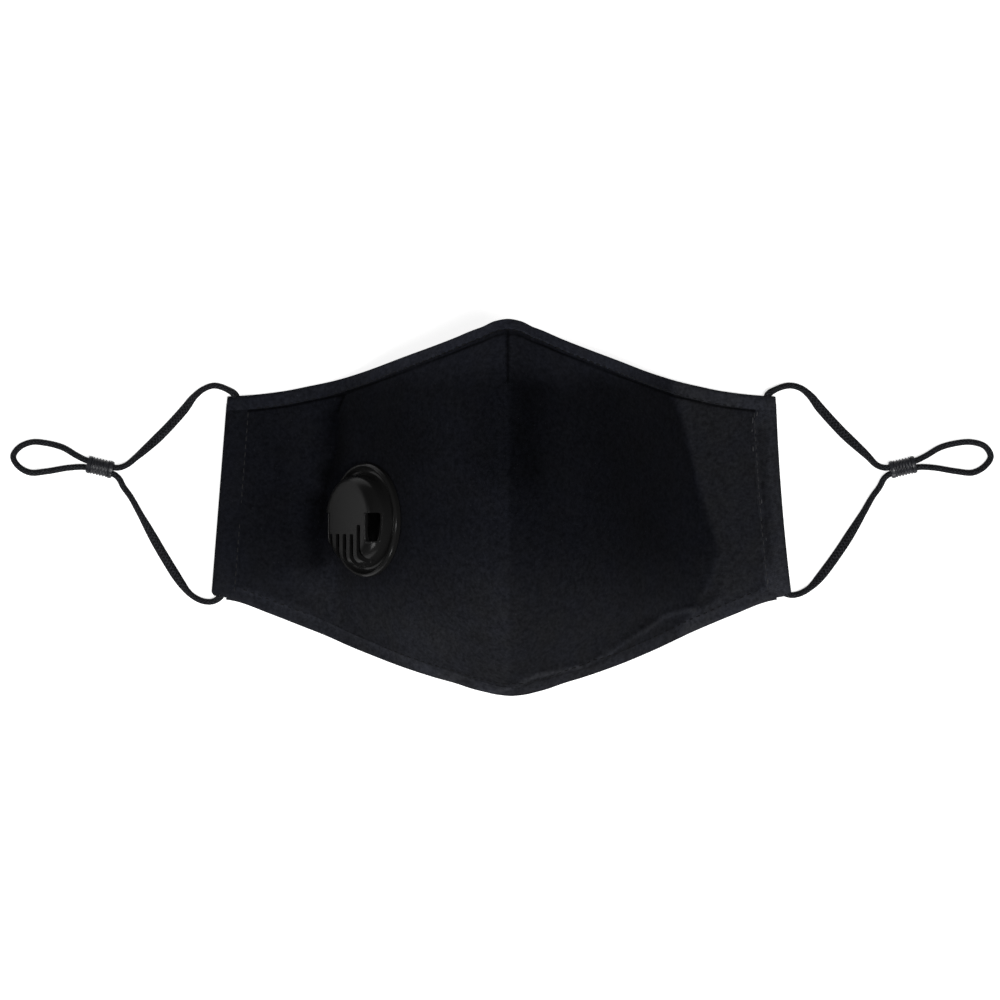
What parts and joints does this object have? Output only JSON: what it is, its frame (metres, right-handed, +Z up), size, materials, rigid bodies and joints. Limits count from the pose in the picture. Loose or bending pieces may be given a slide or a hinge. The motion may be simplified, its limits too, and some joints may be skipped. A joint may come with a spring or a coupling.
{
  "type": "cloth face mask",
  "caption": "Black cotton face mask with a middle ridge, bound edges, elastic ear loops with sliders and a round exhale valve, lying with its hollow side down.",
  "frame": {"origin": "on the surface that the mask lies on, under the middle of the mask without its ear cords", "axes": "+Z up, out of the face side; +Y towards the nose edge; +X towards the wearer's left ear, the viewer's right"},
  "size_m": [0.3331, 0.1238, 0.0627],
  "materials": {
    "cotton": "matt plain weave, black",
    "binding": "matt folded band, black",
    "elastic": "flat braided elastic, black",
    "slider": "satin silicone, ribbed",
    "valve": "glossy black moulding",
    "flap": "thin black rubber disc"
  },
  "bodies": {
    "root": {"mask_body": "cotton", "top_binding": "binding", "bottom_binding": "binding", "side_casing_left": "cotton", "side_casing_right": "cotton", "ear_cord_left": "elastic", "ear_cord_right": "elastic", "cord_slider_left": "slider", "cord_slider_right": "slider", "valve_cover": "valve", "valve_seat": "valve", "valve_flap": "flap"}
  },
  "joints": []
}
